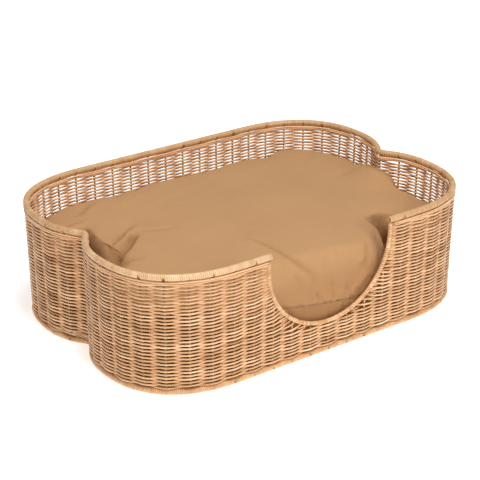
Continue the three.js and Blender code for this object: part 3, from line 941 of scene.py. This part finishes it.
c = coords(cush.data) * 1000
vn = normals(cush.data)
x, y, z = c.T
topness = np.clip((z - 110) / 55, 0, 1) ** 1.5
sN, dN = nearest_outline(c[:, :2])
lift = np.zeros(len(c))
lift -= 9 * np.exp(-(((x - 372) / 55) ** 2 + ((y + 130) / 60) ** 2))  # slack front right lobe
lift -= 3 * np.exp(-(((x - 262) / 80) ** 2 + ((y + 205) / 45) ** 2))
lift += 3.5 * np.exp(-(((x + 60) / 190) ** 2 + ((y + 20) / 140) ** 2))
lift += 1.8 * np.sin(x / 71 + 0.6) * np.sin(y / 58 + 1.1)
rn = smooth_noise(4096, 37, 4242)
rn2 = smooth_noise(4096, 61, 4243)
lift += 0.8 * rn[((x + 0.35 * y + 900) * 2).astype(int) % 4096] + 0.6 * rn2[((y * 1.3 - 0.4 * x + 900) * 2).astype(int) % 4096]
c[:, 2] += lift * topness

# folds: line over the surface, depth, width, height of the soft ridge beside it and on which side
FOLDS = [
    ([(-66, -91, 180), (-56, -119, 179), (-47, -155, 177), (-42, -205, 172), (-27, -228, 168), (-14, -244, 160), (-10, -254, 152), (-20, -262, 142), (-31, -269, 128), (-34, -272, 112)], 4.4, 6.5, 0.5, 1),
    ([(-50, -236, 166), (-44, -256, 150), (-46, -266, 130)], 2.0, 9.0, 0.4, -1),
    ([(27, -262, 142), (26, -268, 130), (24, -273, 109), (22, -272, 94)], 2.6, 4.5, 0.5, -1),
    ([(132, -226, 172), (124, -240, 162), (112, -254, 146), (100, -263, 126)], 3.0, 6.5, 0.5, 1),
    ([(-20, -270, 124), (-8, -273, 108), (0, -272, 92)], 2.4, 5.0, 0.5, 1),
    ([(60, -270, 112), (66, -273, 96), (64, -270, 80)], 2.4, 4.2, 0.4, 1),
    ([(-300, 24, 170), (-266, 46, 172), (-238, 66, 172), (-206, 86, 176), (-190, 98, 177)], 4.2, 5.5, 0.5, 1),
    ([(-262, 20, 173), (-238, 44, 174), (-212, 52, 175), (-176, 36, 176), (-118, 14, 177)], 3.0, 4.5, 0.5, -1),
    ([(-222, 42, 176), (-236, 30, 175), (-256, 10, 173), (-276, -8, 172), (-304, -26, 167)], 8.5, 6.5, -1, 1),
    ([(-318, -30, 168), (-290, -44, 170), (-266, -66, 172)], 3.2, 7.0, 0.4, 1),
    ([(-282, 182, 172), (-262, 195, 175), (-237, 214, 175), (-207, 233, 175)], 3.2, 7.5, 0.4, 1),
    ([(-340, 150, 168), (-305, 162, 172), (-262, 158, 174)], 2.4, 7.0, 0.4, 1),
    ([(344, 22, 184), (312, 44, 178), (262, 52, 177)], 1.4, 10.0, 0.3, 1),
]


def fold(line, depth, width, ridge, side):
    P = np.array(line, float)
    k = np.concatenate([[0], np.cumsum(np.linalg.norm(np.diff(P, axis=0), axis=1))])
    u = np.linspace(0, k[-1], max(12, int(k[-1] / 2.0)))
    Q = np.stack([np.interp(u, k, P[:, a]) for a in range(3)], 1)
    ker = np.hanning(9)[1:-1]
    ker /= ker.sum()
    Q = np.stack([np.convolve(np.pad(Q[:, a], 3, mode="edge"), ker, "valid") for a in range(3)], 1)
    T = np.gradient(Q, axis=0)
    T /= np.linalg.norm(T, axis=1, keepdims=True)
    lo, hi = Q.min(0) - 45, Q.max(0) + 45
    near = np.where(((c > lo) & (c < hi)).all(1))[0]
    q, n = c[near], vn[near]
    w = q[:, None] - Q[None]
    along_n = (w * n[:, None]).sum(-1)
    tang = w - along_n[..., None] * n[:, None]
    dist = np.linalg.norm(tang, axis=-1) + 6.0 * np.clip(np.abs(along_n) - 32, 0, None)
    j = dist.argmin(1)
    dd = dist[np.arange(len(near)), j]
    sg = np.sign((np.cross(T[j], n) * tang[np.arange(len(near)), j]).sum(1)) * side
    t = u[j] / k[-1]
    fade = soft_step(t / 0.22) * soft_step((1 - t) / 0.4)
    wd = width * (0.75 + 0.5 * t)
    sd = dd * sg
    if ridge < 0:  # a step: the cloth drops at the line and climbs back slowly
        fade = soft_step(t / 0.12) * soft_step((1 - t) / 0.12)
        low = np.where(sd > 0, np.exp(-((np.abs(sd) / (4 * width)) ** 1.3)), np.exp(-((sd / (0.55 * width)) ** 2)))
        return near, -fade * depth * low
    amount = fade * (-depth * np.exp(-np.abs(dd / wd) ** 1.5) + ridge * depth * np.exp(-(((sd - 2.0 * wd) / (1.25 * wd)) ** 2)))
    return near, amount


total = np.zeros(len(c))
for line, depth, width, ridge, side_ in FOLDS:
    near, amount = fold(line, depth, width, ridge, side_)
    total[near] += amount
c += vn * total[:, None]
# side folds run up from the seam
side = np.clip(1 - np.abs(z - 118) / 55, 0, 1) * (1 - topness)
pk = smooth_noise(8192, 150, 77)
pk2 = smooth_noise(8192, 47, 78)
ix = (sN / L * 8192).astype(int) % 8192
push = side * (1.8 * pk[ix] + 2.6 * pk2[ix])
dirn = OUT_N[(sN / L * len(OUT_S)).astype(int) % len(OUT_S)]
c[:, :2] += dirn * push[:, None]
# seam: the cloth is drawn in along the line
dseam = c[:, 2] - seam_z(c[:, 0], c[:, 1])
groove = np.exp(-((dseam / 2.6) ** 2)) * (dN < 60)
pucker = 1 + 0.45 * smooth_noise(8192, 400, 79)[ix]
c[:, :2] -= dirn * (2.6 * groove * pucker)[:, None]
# never past the wall's inner face
sN, dN = nearest_outline(c[:, :2])
need = 5.2 + 2.2 - lean(np.clip(c[:, 2], 20, 235)) + 0.8
over = np.clip(need - dN, 0, None)
c[:, :2] -= OUT_N[(sN / L * len(OUT_S)).astype(int) % len(OUT_S)] * over[:, None]
c[:, 2] = np.maximum(c[:, 2], CUSH_LOW)
put(cush.data, c / 1000)
# painted shade: the cloth is darkened where it lies against the wall, in the troughs, on the front roll below its top,
# under the seam and down in the folds
front = np.exp(-((c[:, 0] / 170) ** 4)) * soft_step((-c[:, 1] - 200) / 40)
wall_shade = soft_step((40 - dN) / 30) * (1 - front)
shade = 1 - 0.62 * wall_shade * (0.55 + 0.45 * soft_step((168 - c[:, 2]) / 25))
tl = polygon_depth(c[:, :2], [(-283, 146), (-290, 98), (-297, 68), (-300, 37), (-302, 8), (-314, -36), (-345, -74), (-372, -44), (-385, 20), (-380, 64), (-352, 110), (-312, 144)])
tr = polygon_depth(c[:, :2], [(200, -150), (194, -194), (184, -222), (160, -244), (150, -290), (262, -290), (284, -235), (264, -190), (232, -150)])
shade *= 1 - 0.72 * soft_step(tl / 20) * soft_step((180 - c[:, 2]) / 18)
shade *= 1 - 0.45 * soft_step(tl / 12) * soft_step((62 - dN) / 30)
shade *= 1 - 0.6 * soft_step(tr / 18) * soft_step((176 - c[:, 2]) / 30)
shade *= 1 - 0.13 * front * soft_step((172 - c[:, 2]) / 45)
shade *= 1 - 0.11 * front * soft_step((seam_z(c[:, 0], c[:, 1]) - c[:, 2] + 2) / 4)
shade *= 1 - 0.30 * np.clip(-total / 8.0, 0, 1) ** 1.2
at_ = cush.data.attributes.new("shade", "FLOAT", "POINT")
at_.data.foreach_set("value", shade.astype(np.float32))
sm = cush.modifiers.new("ease", "SMOOTH")
sm.factor, sm.iterations = 0.4, 2
apply_all(cush)
for poly in cush.data.polygons:
    poly.use_smooth = True


def cloth_material(name, base_dark, base_light, shaded=False):
    m, nt, b = material(name)
    co = nt.nodes.new("ShaderNodeTexCoord")
    v = co.outputs["Object"]
    blot = noise(nt, v, 7.0, 3.0, 0.5)
    slub = noise(nt, v, 260.0, 2.0, 0.6, (0.12, 1.0, 1.0))
    slub2 = noise(nt, v, 260.0, 2.0, 0.6, (1.0, 0.12, 1.0))
    f = math_node(nt, "ADD", math_node(nt, "MULTIPLY", blot, 0.5), math_node(nt, "MULTIPLY", math_node(nt, "ADD", slub, slub2), 0.28))
    col = ramp(nt, f, [(0.25, base_dark), (0.78, base_light)])
    if shaded:
        sh = nt.nodes.new("ShaderNodeAttribute")
        sh.attribute_name = "shade"
        tc = nt.nodes.new("ShaderNodeCombineColor")
        for i, e in enumerate((1.0, 1.35, 1.75)):
            nt.links.new(math_node(nt, "POWER", sh.outputs["Fac"], e), tc.inputs[i])
        col = mix(nt, 1.0, col, tc.outputs[0], "MULTIPLY")
    nt.links.new(col, b.inputs["Base Color"])
    w1 = nt.nodes.new("ShaderNodeTexWave")
    w1.bands_direction = "X"
    w1.inputs["Scale"].default_value = 420.0
    w1.inputs["Distortion"].default_value = 1.2
    w2 = nt.nodes.new("ShaderNodeTexWave")
    w2.bands_direction = "Y"
    w2.inputs["Scale"].default_value = 420.0
    w2.inputs["Distortion"].default_value = 1.2
    nt.links.new(v, w1.inputs["Vector"])
    nt.links.new(v, w2.inputs["Vector"])
    h = math_node(nt, "MAXIMUM", w1.outputs["Fac"], w2.outputs["Fac"])
    h = math_node(nt, "ADD", h, math_node(nt, "MULTIPLY", slub, 0.6))
    bp = nt.nodes.new("ShaderNodeBump")
    bp.inputs["Strength"].default_value = 0.22
    bp.inputs["Distance"].default_value = 0.0003
    nt.links.new(h, bp.inputs["Height"])
    nt.links.new(bp.outputs["Normal"], b.inputs["Normal"])
    r = nt.nodes.new("ShaderNodeMapRange")
    r.inputs["To Min"].default_value = 0.82
    r.inputs["To Max"].default_value = 0.96
    nt.links.new(blot, r.inputs["Value"])
    nt.links.new(r.outputs["Result"], b.inputs["Roughness"])
    b.inputs["Sheen Weight"].default_value = 0.05
    b.inputs["Sheen Roughness"].default_value = 0.5
    b.inputs["Specular IOR Level"].default_value = 0.12
    return m


CLOTH = cloth_material("cushion_cloth", (0.475, 0.262, 0.118), (0.55, 0.31, 0.147), True)
FILL = cloth_material("filling", (0.72, 0.69, 0.62), (0.85, 0.83, 0.78))
THREAD = cloth_material("seam_thread", (0.30, 0.165, 0.075), (0.37, 0.205, 0.10))
cush.data.materials.clear()
cush.data.materials.append(CLOTH)
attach(cush, "cushion")
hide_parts("cushion_top_panel", "cushion_base_panel")

# the filling: the cover's own shape, drawn in by its thickness
core = bpy.data.objects.new("cushion_fill", cush.data.copy())
bpy.context.scene.collection.objects.link(core)
core.data.materials.clear()
remesh(core, 0.009)
cc = coords(core.data) * 1000
put(core.data, (cc - normals(core.data) * 9.0) / 1000)
sm = core.modifiers.new("ease", "SMOOTH")
sm.factor, sm.iterations = 0.5, 3
apply_all(core)
shell = BVHTree.FromObject(cush, bpy.context.evaluated_depsgraph_get())
ring = [(0.0, 0.0)] + [
    (r * math.cos(a), r * math.sin(a)) for r in (0.008, 0.016) for a in np.linspace(0, 2 * math.pi, 9)[:8]
]
for _ in range(2):
    cc = coords(core.data)
    for i, p in enumerate(cc):
        loc, nor, _f, _d = shell.find_nearest(Vector(p))
        if (Vector(p) - loc).dot(nor) > -0.0075:
            cc[i] = loc - nor * 0.0075
        if cc[i][2] > 0.06:
            for dx, dy in ring:
                hit = shell.ray_cast(Vector((cc[i][0] + dx, cc[i][1] + dy, 0.4)), Vector((0, 0, -1)))[0]
                if hit is not None:
                    cc[i][2] = max(0.055, min(cc[i][2], hit.z - 0.009))
    put(core.data, cc)
for poly in core.data.polygons:
    poly.use_smooth = True
core.data.materials.append(FILL)
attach(core, "cushion")
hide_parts("cushion_filling")

# welt: a thin sewn cord along the seam, laid on the finished cover
bv = BVHTree.FromObject(cush, bpy.context.evaluated_depsgraph_get())
n = 900
s = np.arange(n) * L / n
pp, nn = at(s), normal(s)
pts = []
for i in range(n):
    zq = float(seam_z(pp[i, 0], pp[i, 1]))
    start = Vector((*(pp[i] - nn[i] * 2) / 1000, zq / 1000))
    hit = bv.ray_cast(start, Vector((-nn[i, 0], -nn[i, 1], 0)), 0.2)
    if hit[0] is not None:
        pts.append(np.array(hit[0]) * 1000 + np.array([nn[i, 0], nn[i, 1], 0]) * 0.15)
pts = np.array(pts)
ker = np.ones(5) / 5
pts = np.stack([np.convolve(np.concatenate([pts[-2:, a], pts[:, a], pts[:2, a]]), ker, "valid") for a in range(3)], 1)
T = np.roll(pts, -1, 0) - np.roll(pts, 1, 0)
T /= np.linalg.norm(T, axis=1, keepdims=True)
Vv = np.tile([0.0, 0, 1], (len(pts), 1))
Uu = np.cross(T, Vv)
Uu /= np.linalg.norm(Uu, axis=1, keepdims=True)
sp = Soup()
tube(sp, pts, Uu, np.cross(T, Uu), 1.05, 8, True)
welt = sp.make("cushion_welt")
welt.data.materials.append(THREAD)
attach(welt, "cushion")

# ------------------------------------------------------------------ stage, light and camera
def stage():
    me = bpy.data.meshes.new("floor")
    h = 6.0
    me.from_pydata([(-h, -h, 0), (h, -h, 0), (h, h, 0), (-h, h, 0)], [], [(0, 1, 2, 3)])
    floor = bpy.data.objects.new("floor", me)
    bpy.context.scene.collection.objects.link(floor)
    floor.location.z = -0.0002
    m, nt, b = material("floor_white")
    b.inputs["Base Color"].default_value = (0.9, 0.9, 0.9, 1)
    b.inputs["Roughness"].default_value = 0.9
    b.inputs["Specular IOR Level"].default_value = 0.0
    b.inputs["Emission Color"].default_value = (1, 1, 1, 1)
    co = nt.nodes.new("ShaderNodeTexCoord")
    sep = nt.nodes.new("ShaderNodeSeparateXYZ")
    nt.links.new(co.outputs["Object"], sep.inputs[0])

    def power(sock, scale, e):
        return math_node(nt, "POWER", math_node(nt, "ABSOLUTE", math_node(nt, "MULTIPLY", sock, 1 / scale), 0.0), e)

    def step(sock, lo, hi, a, b_):
        r = nt.nodes.new("ShaderNodeMapRange")
        r.interpolation_type = "SMOOTHSTEP"
        for key, v in zip(("From Min", "From Max", "To Min", "To Max"), (lo, hi, a, b_)):
            r.inputs[key].default_value = v
        nt.links.new(sock, r.inputs["Value"])
        return r.outputs["Result"]

    # painted light: the floor glows, so it reads white and lights the basket from below; no glow under the basket's
    # footprint except in the hollows at the two ends, and more glow further out
    under = math_node(nt, "ADD", power(sep.outputs[0], 0.400, 5.0), power(sep.outputs[1], 0.283, 5.0))
    ax = math_node(nt, "SUBTRACT", 0.5007, math_node(nt, "ABSOLUTE", sep.outputs[0], 0.0))
    bay = math_node(nt, "SQRT", math_node(nt, "ADD", math_node(nt, "MULTIPLY", ax, ax), math_node(nt, "MULTIPLY", sep.outputs[1], sep.outputs[1])), 0.0)
    away = math_node(nt, "ADD", power(sep.outputs[0], 1.0, 2.0), power(sep.outputs[1], 1.0, 2.0))
    clear = math_node(nt, "MAXIMUM", step(under, 0.74, 0.95, 0.0, 1.0), step(bay, 0.146, 0.168, 1.0, 0.0))
    glow = math_node(nt, "MULTIPLY", clear, step(away, 0.5, 3.0, 0.58, 0.85))
    nt.links.new(glow, b.inputs["Emission Strength"])
    me.materials.append(m)
    w = bpy.data.worlds.new("studio")
    w.use_nodes = True
    bg = w.node_tree.nodes["Background"]
    bg.inputs[0].default_value = (1.0, 1.0, 1.0, 1)
    bg.inputs[1].default_value = 0.34
    bpy.context.scene.world = w

    def area(name, loc, target, size, power, colour=(1, 1, 1)):
        d = bpy.data.lights.new(name, "AREA")
        d.shape = "DISK"
        d.size = size
        d.energy = power
        d.color = colour
        o = bpy.data.objects.new(name, d)
        bpy.context.scene.collection.objects.link(o)
        o.location = loc
        o.rotation_euler = (Vector(target) - Vector(loc)).to_track_quat("-Z", "Y").to_euler()

    area("top", (-0.2, -0.5, 2.6), (0, 0, 0.1), 0.8, 41)
    area("key", (-0.2, -2.8, 1.5), (0, 0, 0.1), 0.5, 21)
    cam = bpy.data.cameras.new("camera")
    cam.lens = 107.3
    cam.sensor_width = 36
    cam.clip_start = 0.05
    o = bpy.data.objects.new("camera", cam)
    bpy.context.scene.collection.objects.link(o)
    o.location = (-1.55505, -2.14663, 1.34082)
    o.rotation_euler = (Vector((0.0193, 0.0346, 0.1102)) - o.location).to_track_quat("-Z", "Y").to_euler()
    bpy.context.scene.camera = o
    bpy.context.scene.view_settings.view_transform = "Standard"


stage()
